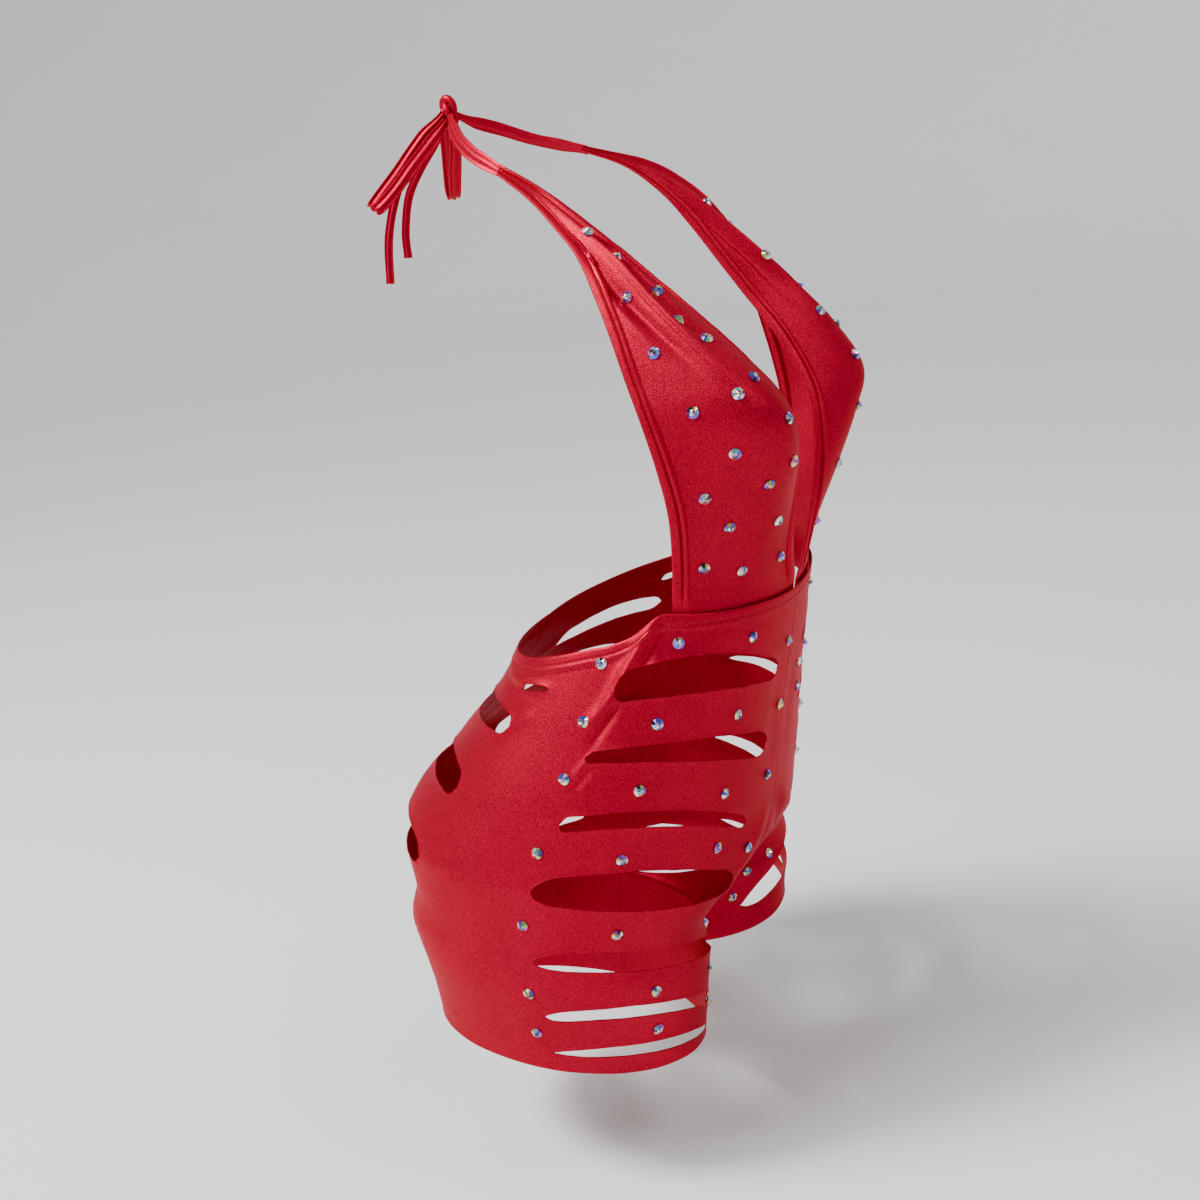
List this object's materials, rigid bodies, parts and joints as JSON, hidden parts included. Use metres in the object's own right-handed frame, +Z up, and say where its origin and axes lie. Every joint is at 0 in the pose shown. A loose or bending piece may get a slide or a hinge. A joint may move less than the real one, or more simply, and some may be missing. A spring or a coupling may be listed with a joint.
{
  "type": "rhinestone romper",
  "caption": "Halter-neck stage romper in red stretch satin: plunging bibs tied at the nape, slashed shorts, raised rhinestones, kept in its worn hollow form.",
  "frame": {"origin": "at the nape, on the inner side of the neck tie beside the knot, where the wearer holds the garment up", "axes": "+Z up along the body, -Y out of the front, +X to the wearer's left"},
  "size_m": [0.3658, 0.3313, 0.6851],
  "materials": {
    "satin": "red stretch satin with a soft sheen",
    "trim": "the same satin, folded as binding and ties"
  },
  "bodies": {
    "root": {"shorts_front_right": "satin", "shorts_back_right": "satin", "shorts_front_left": "satin", "shorts_back_left": "satin", "bib_right": "satin", "bib_left": "satin", "binding_plunge_right": "trim", "binding_arm_right": "trim", "binding_plunge_left": "trim", "binding_arm_left": "trim", "knot": "trim", "neck_tie_right": "trim", "neck_tie_left": "trim", "bow_loop_right": "trim", "bow_loop_left": "trim", "bow_tail_right": "trim", "bow_tail_left": "trim"}
  },
  "joints": []
}
